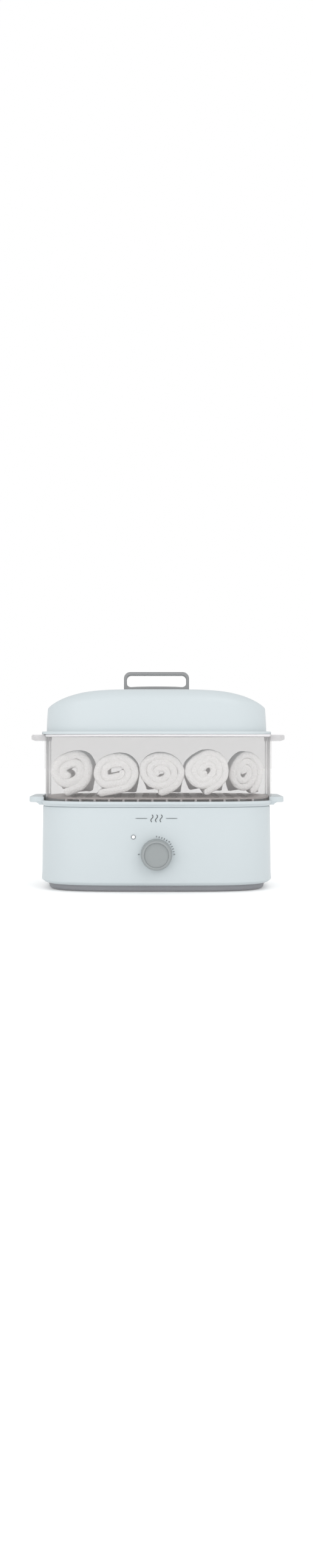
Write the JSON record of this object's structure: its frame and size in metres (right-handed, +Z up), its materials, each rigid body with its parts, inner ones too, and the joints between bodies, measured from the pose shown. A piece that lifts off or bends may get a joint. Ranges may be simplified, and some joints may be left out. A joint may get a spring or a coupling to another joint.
{
  "type": "hot towel steamer",
  "caption": "Countertop electric hot towel steamer: heated water base with timer knob, drip tray with grips, frosted basket of rolled towels and domed lid with loop handle.",
  "frame": {"origin": "middle of the bounding box's underside, on the surface that the rubber feet stand on", "axes": "+Z up, +X to the right seen from the front, front with the timer knob towards -Y"},
  "size_m": [0.3565, 0.211, 0.303],
  "materials": {
    "shell_plastic": "satin pale blue moulded plastic",
    "plate_plastic": "fine-textured grey moulded plastic",
    "foot_rubber": "matte black rubber",
    "fastener_steel": "zinc-plated steel",
    "reservoir_plastic": "satin light grey moulded plastic",
    "sleeve_plastic": "satin pale moulded plastic",
    "heater_steel": "stamped stainless steel",
    "silicone": "milky silicone",
    "spreader_aluminium": "die-cast aluminium",
    "element_sheath": "dark oxidised steel tube",
    "thermostat_plastic": "black phenolic",
    "fuse_ceramic": "cream ceramic",
    "timer_plastic": "ivory moulded plastic",
    "bell_brass": "plated brass",
    "knob_plastic": "satin warm grey moulded plastic",
    "bezel_metal": "satin chrome plated",
    "lens_plastic": "milky translucent plastic",
    "bulb_glass": "small neon tube",
    "black_plastic": "black nylon",
    "gland_rubber": "black moulded grommet",
    "terminal_plastic": "natural nylon",
    "wire_pvc": "silicone-sleeved wire",
    "frosted_plastic": "frosted translucent polypropylene",
    "terry_cotton": "white looped terry cotton",
    "handle_plastic": "satin mid grey moulded plastic"
  },
  "bodies": {
    "base": {"base_housing": "shell_plastic", "bottom_plate": "plate_plastic", "rubber_feet": "foot_rubber", "bottom_screws": "fastener_steel", "water_reservoir": "reservoir_plastic", "reservoir_screws": "fastener_steel", "heater_plate": "heater_steel", "heater_seal": "silicone", "clamp_ring": "heater_steel", "heater_nuts": "fastener_steel", "heat_spreader": "spreader_aluminium", "heating_element": "element_sheath", "thermostat": "thermostat_plastic", "thermal_fuse": "fuse_ceramic", "timer_bracket": "heater_steel", "timer_case": "timer_plastic", "timer_bell": "bell_brass", "timer_screws": "fastener_steel", "lamp_bezel": "bezel_metal", "lamp_lens": "lens_plastic", "neon_bulb": "bulb_glass", "lamp_holder": "black_plastic", "entry_panel": "shell_plastic", "cord_gland": "gland_rubber", "cord_clamp": "black_plastic", "cord_clamp_screws": "fastener_steel", "terminal_block": "terminal_plastic", "terminal_screws": "bell_brass", "wiring": "wire_pvc"},
    "knob": {"timer_knob": "knob_plastic", "timer_shaft": "heater_steel"},
    "sleeve": {"steam_sleeve": "sleeve_plastic"},
    "tray": {"drip_tray": "shell_plastic"},
    "basket": {"steam_basket": "frosted_plastic", "towel_1": "terry_cotton", "towel_2": "terry_cotton", "towel_3": "terry_cotton", "towel_4": "terry_cotton", "towel_5": "terry_cotton"},
    "lid": {"lid_shell": "shell_plastic", "lid_handle": "handle_plastic", "handle_screws": "fastener_steel", "handle_washers": "silicone"}
  },
  "joints": [
    {"name": "tray_lift", "type": "slide", "parent": "base", "child": "tray", "axis": [0, 0, 1], "range_m": [0, 0.12]},
    {"name": "basket_lift", "type": "slide", "parent": "tray", "child": "basket", "axis": [0, 0, 1], "range_m": [0, 0.12]},
    {"name": "lid_lift", "type": "slide", "parent": "basket", "child": "lid", "axis": [0, 0, 1], "range_m": [0, 0.12]},
    {"name": "timer_turn", "type": "hinge", "parent": "base", "child": "knob", "pos_m": [0, -0.0872, 0.052], "axis": [0, 1, 0], "range_deg": [0, 270]},
    {"name": "sleeve_lift", "type": "slide", "parent": "base", "child": "sleeve", "axis": [0, 0, 1], "range_m": [0, 0.0721]}
  ],
  "couplings": [
    {"joint": "sleeve_lift", "follows": "tray_lift", "ratio": 0.6}
  ]
}
